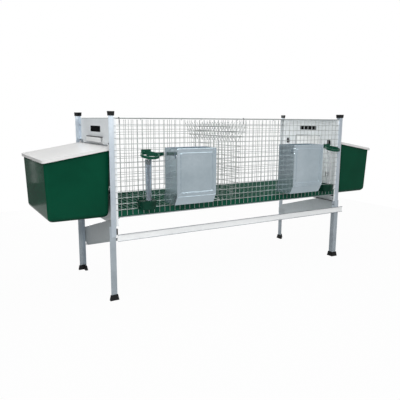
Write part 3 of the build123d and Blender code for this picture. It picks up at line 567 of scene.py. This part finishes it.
def ventGrille(side):
    node = "vent_plugs_" + side
    low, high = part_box(node)
    out = -1 if side == "left" else 1
    margin, thick, ease, corner, sunk = (
        grilleLook[k] * mm for k in ("marginMm", "thickMm", "roundMm", "cornerMm", "sunkMm"))
    steps = grilleLook["cornerSteps"]
    face = (low.x if out < 0 else high.x) - out * sunk
    centre = Vector((face, (low.y + high.y) / 2, (low.z + high.z) / 2))
    wide, tall = (high.y - low.y) / 2 + margin - corner, (high.z - low.z) / 2 + margin - corner
    bm = bmesh.new()
    rings = []
    for along, inset in ((0, 0), (thick - ease, 0), (thick, ease)):
        ring = []
        for quarter, (sy, sz) in enumerate(quarters):
            for step in range(steps + 1):
                turn = math.pi / 2 * (quarter + step / steps)
                y = sy * wide + (corner - inset) * math.cos(turn)
                z = sz * tall + (corner - inset) * math.sin(turn)
                ring.append(bm.verts.new(centre + Vector((out * along, y, z))))
        rings.append(ring)
    skinRings(bm, rings)
    bmesh.ops.recalc_face_normals(bm, faces=bm.faces)
    addPiece("vent_grille_" + side, bm, ventBlack, node)


# Feeder hems: the sheet is folded back round a wire, which leaves a round bead on each edge of the face
hemLook = {"beadMm": 2.1, "bendMm": 5.0, "around": 12, "insetMm": 1.6, "hemMm": 20.0, "faceMm": 38.0,
           "outShare": 0.5}


def feederHem(side):
    node = "feeder_" + side
    low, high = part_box(node)
    r, bend, face = (hemLook[k] * mm for k in ("beadMm", "bendMm", "faceMm"))
    y = low.y + hemLook["outShare"] * r
    bm = bmesh.new()
    for inset in (hemLook["insetMm"] * mm, hemLook["hemMm"] * mm):
        x0, x1 = low.x + inset, high.x - inset
        z0, z1 = low.z + face + inset, high.z - inset
        corners = [Vector((x, y, z)) for x, z in ((x0, z0), (x1, z0), (x1, z1), (x0, z1))]
        bentLoop(bm, corners, bend, r, hemLook["around"])
    addPiece(node + "_hem", bm, feederZinc, node, smoothAngle=rodSmooth)


# Hinge rod of each nest lid, on the hinge line from end to end of the lid; its zinc, darker than the lid, also
# paints the shadow line of the gap between lid and panel
lidRodLook = {"radiusMm": 2.2, "around": 12, "endMm": 6.0, "tipMm": 0.88, "tipShare": 0.6}


def lidRodWithGapShade(side):
    node = "nest_lid_" + side
    low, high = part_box(node)
    joint = next(j for j in frame["joints"] if j["name"] == node + "_hinge")
    x, _, z = joint["pos_m"]
    r, end, tip = (lidRodLook[k] * mm for k in ("radiusMm", "endMm", "tipMm"))
    bm = bmesh.new()
    straightRod(bm, Vector((x, low.y + end, z)), Vector((x, high.y - end, z)), r, tip,
                lidRodLook["tipShare"], lidRodLook["around"])
    # the rod's darker zinc doubles as painted shade for the gap along the lid
    addPiece("lid_rod_gap_shade_" + side, bm, boltZinc, node, smoothAngle=rodSmooth)


# Doorway edge: the panel's sheet rolled over inside, all round the opening, drawn in zinc darker than the panel: a
# painted shadow line for the gap at the doorway's edge
doorwayLook = {"wideMm": 215.0, "sillMm": 137.0, "headMm": 94.0, "cornerMm": 12.0, "sheetMm": 1.0,
               "beadMm": 1.5, "outShare": 0.3, "around": 8}


def doorwayShadowBead(side):
    node = "end_panel_" + side
    low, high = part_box(node)
    wide, sill, head, corner, sheet, r = (
        doorwayLook[k] * mm for k in ("wideMm", "sillMm", "headMm", "cornerMm", "sheetMm", "beadMm"))
    off = sheet + doorwayLook["outShare"] * r
    x = low.x + off if side == "left" else high.x - off
    middle = (low.y + high.y) / 2
    y0, y1 = middle - wide / 2 - r, middle + wide / 2 + r
    z0, z1 = low.z + sill - r, high.z - head + r
    corners = [Vector((x, y, z)) for y, z in ((y0, z0), (y1, z0), (y1, z1), (y0, z1))]
    bm = bmesh.new()
    bentLoop(bm, corners, corner, r, doorwayLook["around"])
    # the fastener zinc is darker than the panel's: the bead's colour is painted shade
    addPiece("doorway_painted_shadow_" + side, bm, boltZinc, node, smoothAngle=rodSmooth)


# Black strip along the lower flange of each end panel: painted shadow for the shade under the flange
flangeShadowLook = {"radiusMm": 2.2, "around": 10, "insetMm": 4.0, "riseMm": 0.5, "tipShare": 0.5}


def flangeShadowStrip(side):
    node = "end_panel_" + side
    low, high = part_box(node)
    r, inset, rise = (flangeShadowLook[k] * mm for k in ("radiusMm", "insetMm", "riseMm"))
    x = high.x if side == "left" else low.x
    z = low.z + rise
    bm = bmesh.new()
    straightRod(bm, Vector((x, low.y + inset, z)), Vector((x, high.y - inset, z)), r, r,
                flangeShadowLook["tipShare"], flangeShadowLook["around"])
    # the black strip is a painted shadow line under the flange
    addPiece("flange_painted_shadow_" + side, bm, blackPlastic, node, smoothAngle=rodSmooth)


for side in sides:
    doorwayShadowBead(side)
    flangeShadowStrip(side)
    ventGrille(side)
    feederHem(side)
    lidRodWithGapShade(side)
print("edges, grilles, hems and hinge rods ready")


# Stiffening ribs under the slatted floors, across the slots
ribLook = {"pitchMm": 52.0, "thickMm": 2.4, "deepMm": 9.0, "sinkMm": 0.6, "insetMm": 26.0, "footShare": 0.6}


def floorRibs(side):
    node = "floor_" + side
    low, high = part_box(node)
    bottom = min(v.co.z for v in nodes[node].data.vertices)
    pitch, thick, deep, sink, inset = (
        ribLook[k] * mm for k in ("pitchMm", "thickMm", "deepMm", "sinkMm", "insetMm"))
    half, foot = thick / 2, ribLook["footShare"] * thick / 2
    z0, z1 = bottom - deep, bottom + sink
    room = high.y - low.y - 2 * inset
    count = round(room / pitch)
    bm = bmesh.new()
    for k in range(count + 1):
        y = low.y + inset + room * k / count
        section = [(y - half, z1), (y - foot, z0), (y + foot, z0), (y + half, z1)]
        skinRings(bm, [[bm.verts.new((x, *point)) for point in section]
                       for x in (low.x + inset, high.x - inset)])
    bmesh.ops.recalc_face_normals(bm, faces=bm.faces)
    addPiece(node + "_ribs", bm, floorGreen, node)


# Rolled edges of the dung tray's lip, drawn in zinc darker than the tray: painted shade lines along the lip's top
# and bottom edges
lipLook = {"beadMm": 1.4, "around": 8, "inShare": 0.3, "tipShare": 0.5, "faceMm": 0.5}


def lipShadeBeads():
    node = "dung_tray"
    low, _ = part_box(node)
    r = lipLook["beadMm"] * mm
    inset = lipLook["inShare"] * r
    face = [v.co for v in nodes[node].data.vertices if v.co.y - low.y < lipLook["faceMm"] * mm]
    xs, zs = [p.x for p in face], [p.z for p in face]
    bm = bmesh.new()
    for z in (min(zs) + inset, max(zs) - inset):
        straightRod(bm, Vector((min(xs), low.y, z)), Vector((max(xs), low.y, z)), r, r,
                    lipLook["tipShare"], lipLook["around"])
    # the fastener zinc is darker than the tray's: the beads' colour is painted shade
    addPiece("lip_beads_painted_shade", bm, boltZinc, node, smoothAngle=rodSmooth)


for side in sides:
    floorRibs(side)
lipShadeBeads()
print("ribs and beads ready")


# Rivets that hold the door guides on the sheet: low domes, three down each guide
rivetLook = {"radiusMm": 3.0, "riseMm": 1.4, "sunkMm": 0.2, "insetMm": 7.0, "endMm": 20.0, "around": 14,
             "steps": 4}


def guideRivets(side):
    node = "door_guides_" + side
    low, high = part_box(node)
    radius, rise, sunk, inset, end = (
        rivetLook[k] * mm for k in ("radiusMm", "riseMm", "sunkMm", "insetMm", "endMm"))
    angles = [math.pi / 2 * k / rivetLook["steps"] for k in range(rivetLook["steps"])]
    dome = [(-sunk, radius)] + [(rise * math.sin(a), radius * math.cos(a)) for a in angles]
    face, outward = (low.x, Vector((-1, 0, 0))) if side == "left" else (high.x, Vector((1, 0, 0)))
    bm = bmesh.new()
    for y in (low.y + inset, high.y - inset):
        for z in (low.z + end, (low.z + high.z) / 2, high.z - end):
            turned(bm, outward, Vector((face, y, z)), dome, rivetLook["around"])
    addPiece("guide_rivets_" + side, bm, boltZinc, node)


for side in sides:
    guideRivets(side)
print("rivets ready")


# Bottle drinker: a clear tube, wider at a beaded rim, and in the one that is in use a grey valve rod
# on its seat, with a plug below the rim; the rim's places are measured in beads
drinkerLook = {"wallMm": 2.0, "beadMm": 1.2, "footUpMm": 0.8, "footInMm": 0.6, "footBandMm": 1.0,
               "collarFrom": 4, "collarAt": 3, "collarIn": 0.4, "around": 40, "smooth": 50,
               "inUse": ("left",)}
valveLook = {"rodMm": 5.5, "seatMm": 14, "fitMm": 0.4, "shoulderMm": 2, "flareMm": 4, "flareOutMm": 2,
             "plugMm": 22, "plugGapMm": 1.5, "plugFootMm": 2, "plugFootInMm": 1, "plugEaseMm": 3,
             "plugTopMm": 1, "plugTopInMm": 2, "around": 24}
up = Vector((0, 0, 1))


def drinker(side):
    node = "drinker_tube_" + side
    low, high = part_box(node)
    centre = Vector(((low.x + high.x) / 2, (low.y + high.y) / 2, 0))
    base = centre + up * low.z
    wide, span = (high.x - low.x) / 2, high.z - low.z
    wall, bead, footUp, footIn, footBand = (
        drinkerLook[k] * mm for k in ("wallMm", "beadMm", "footUpMm", "footInMm", "footBandMm"))
    bore = min((v.co - centre).xy.length for v in nodes[node].data.vertices if v.co.z - low.z < footBand)
    narrow = bore + wall
    collar, back = span - drinkerLook["collarFrom"] * bead, drinkerLook["collarIn"] * bead
    outer = [(0, narrow - footIn), (footUp, narrow), (collar, wide - back),
             (span - drinkerLook["collarAt"] * bead, wide), (span - bead, wide), (span, wide - bead)]
    inner = [(span, wide - wall), (collar, wide - wall - back), (0, narrow - wall)]
    spokes = [Vector((math.cos(t), math.sin(t), 0)) for t in wholeTurn(drinkerLook["around"])]
    bm = bmesh.new()
    skinRings(bm, [[bm.verts.new(base + up * along + spoke * radius) for spoke in spokes]
                   for along, radius in outer + inner], closed=True)
    inUse = side in drinkerLook["inUse"]
    addPiece(node + "_turned", bm, tubeClouded if inUse else tubeClean, node, [node], drinkerLook["smooth"])
    if inUse:
        valve(side, base, bore, wide - wall, span)


def valve(side, base, bore, mouth, span):
    node = "drinker_tube_" + side
    size = {key: value * mm for key, value in valveLook.items() if key.endswith("Mm")}
    seat, rod = bore - size["fitMm"], size["rodMm"]
    plugFoot, near = span - size["plugMm"], mouth - size["plugGapMm"]
    bm = bmesh.new()
    turned(bm, up, base, [(0, seat), (size["seatMm"], seat), (size["seatMm"] + size["shoulderMm"], rod),
                          (plugFoot - size["flareMm"], rod), (plugFoot, rod + size["flareOutMm"])],
           valveLook["around"])
    addPiece("valve_rod_" + side, bm, valveGrey, node)
    bm = bmesh.new()
    turned(bm, up, base, [(plugFoot, near - size["plugFootInMm"]), (plugFoot + size["plugFootMm"], near),
                          (span - size["plugEaseMm"], near),
                          (span - size["plugTopMm"], near - size["plugTopInMm"])], valveLook["around"])
    addPiece("valve_plug_" + side, bm, drinkerGreen, node)


for side in sides:
    drinker(side)
print("drinkers ready")


# Plain pale stage and soft studio light: white overhead, a softer white round the cage
stageLook = {"left": -2.4, "right": 2.4, "front": -1.9, "rear": 2.2, "colour": "#a8a8a8",
             "glow": 0.97, "mirrored": 0.2}
roomLook = {"front": 0.55, "rear": 0.11, "frontUpTo": -0.3, "rearFrom": 0.5, "ambient": 0.7,
            "dimBelow": 0.1, "whiteAbove": 0.8}
white = (1, 1, 1, 1)


def studio():
    x0, x1, y0, y1 = (stageLook[k] for k in ("left", "right", "front", "rear"))
    mesh = bpy.data.meshes.new("studio_floor")
    mesh.from_pydata([(x0, y0, 0), (x1, y0, 0), (x1, y1, 0), (x0, y1, 0)], [], [(0, 1, 2, 3)])
    floor = bpy.data.objects.new("studio_floor", mesh)
    bpy.context.scene.collection.objects.link(floor)
    mat, tree, out = newMaterial("pale_studio_floor")
    matt = addNode(tree, "ShaderNodeBsdfDiffuse", {"Color": srgb(stageLook["colour"])})
    glow = addNode(tree, "ShaderNodeEmission", {"Color": white, "Strength": 1.0})
    path = addNode(tree, "ShaderNodeLightPath")
    seen = addNode(tree, "ShaderNodeMath", {"operation": "MAXIMUM"},
                   {0: path.outputs["Is Camera Ray"], 1: path.outputs["Is Transmission Ray"]})
    plain = addNode(tree, "ShaderNodeMath", {"operation": "MULTIPLY", 1: stageLook["glow"]},
                    {0: seen.outputs["Value"]})
    mirrored = addNode(tree, "ShaderNodeMath", {"operation": "MULTIPLY", 1: stageLook["mirrored"]},
                       {0: path.outputs["Is Glossy Ray"]})
    share = addNode(tree, "ShaderNodeMath", {"operation": "MAXIMUM"},
                    {0: plain.outputs["Value"], 1: mirrored.outputs["Value"]})
    mixed = addNode(tree, "ShaderNodeMixShader", None, {
        "Fac": share.outputs["Value"], 1: matt.outputs["BSDF"], 2: glow.outputs["Emission"]})
    tree.links.new(mixed.outputs["Shader"], out.inputs["Surface"])
    mesh.materials.append(mat)


def room():
    world = bpy.data.worlds.new("white_paper_room")
    bpy.context.scene.world = world
    world.use_nodes = True
    tree = world.node_tree
    tree.nodes.clear()
    out = addNode(tree, "ShaderNodeOutputWorld")
    path = addNode(tree, "ShaderNodeLightPath")
    heading = addNode(tree, "ShaderNodeSeparateXYZ", None,
                      {"Vector": addNode(tree, "ShaderNodeTexCoord").outputs["Generated"]})
    horizon = addNode(tree, "ShaderNodeMapRange", {
        "From Min": roomLook["frontUpTo"], "From Max": roomLook["rearFrom"],
        "To Min": roomLook["front"], "To Max": roomLook["rear"],
    }, {"Value": heading.outputs["Y"]})
    paper = addNode(tree, "ShaderNodeMapRange", {
        "From Min": roomLook["dimBelow"], "From Max": roomLook["whiteAbove"], "To Max": 1.0,
    }, {"Value": heading.outputs["Z"], "To Min": horizon.outputs["Result"]})
    share = addNode(tree, "ShaderNodeMapRange", {"To Min": roomLook["ambient"], "To Max": 1.0},
                    {"Value": path.outputs["Is Glossy Ray"]})
    lit = addNode(tree, "ShaderNodeMath", {"operation": "MULTIPLY"},
                  {0: paper.outputs["Result"], 1: share.outputs["Result"]})
    seen = addNode(tree, "ShaderNodeMath", {"operation": "MAXIMUM"},
                   {0: path.outputs["Is Camera Ray"], 1: path.outputs["Is Transmission Ray"]})
    level = addNode(tree, "ShaderNodeMath", {"operation": "MAXIMUM"},
                    {0: lit.outputs["Value"], 1: seen.outputs["Value"]})
    back = addNode(tree, "ShaderNodeBackground", {"Color": white}, {"Strength": level.outputs["Value"]})
    tree.links.new(back.outputs["Background"], out.inputs["Surface"])


# Lamps: place, point aimed at, width and height in metres, and watts
lampLook = {
    "top_softbox": ((0, -0.2, 3.0), (0.1, 0, 0.5), (1.3, 2.4), 40),
    "rear_softbox": ((-0.35, 2.4, 0.6), (0.6, 0, 0.6), (0.6, 0.26), 19),
    "key_softbox": ((-2.6, -2.4, 2.2), (0.2, 0, 0.5), (2.0, 2.0), 88),
    "rear_strip": ((-1.185, 1.2, 0.44), (-0.99, 0, 0.5), (0.012, 0.16), 0.007),     # streak on the tub's end
    "front_softbox": ((0.8, -3.0, 1.6), (0, 0, 0.5), (1.6, 1.6), 20),
}


def areaLamp(name, spot, aim, size, watts):
    data = bpy.data.lights.new(name, "AREA")
    data.shape = "RECTANGLE"
    data.size, data.size_y = size
    data.energy = watts
    lamp = bpy.data.objects.new(name, data)
    lamp.location = spot
    lamp.visible_camera = False
    lamp.rotation_euler = (Vector(aim) - Vector(spot)).to_track_quat("-Z", "Y").to_euler()
    bpy.context.scene.collection.objects.link(lamp)


studio()
room()
for name, look in lampLook.items():
    areaLamp(name, *look)


# Camera at the photograph's standpoint, in metres and degrees; standOff is from the front mesh's outer face
viewpoint = {"x": -1.3743, "standOff": 1.89204, "z": 0.81345, "yaw": 30.654, "down": 9.943, "roll": 0.347,
             "lens": 40.93, "sensor": 36.0}


def setCamera():
    yaw, down, roll = (math.radians(viewpoint[k]) for k in ("yaw", "down", "roll"))
    ahead = Vector((math.sin(yaw) * math.cos(down), math.cos(yaw) * math.cos(down), -math.sin(down)))
    level = Vector((math.cos(yaw), -math.sin(yaw), 0))
    upward = level.cross(ahead)
    right = level * math.cos(roll) + upward * math.sin(roll)
    top = upward * math.cos(roll) - level * math.sin(roll)
    data = bpy.data.cameras.new("photo_view")
    data.sensor_width = viewpoint["sensor"]
    data.lens = viewpoint["lens"]
    camera = bpy.data.objects.new("photo_view", data)
    turn = Matrix((right, top, -ahead)).transposed()
    place = Vector((viewpoint["x"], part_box("front_mesh")[0].y - viewpoint["standOff"], viewpoint["z"]))
    camera.matrix_world = Matrix.Translation(place) @ turn.to_4x4()
    bpy.context.scene.collection.objects.link(camera)
    bpy.context.scene.camera = camera


setCamera()
bpy.context.scene.view_settings.view_transform = "Standard"
print("stage, lamps and camera ready")
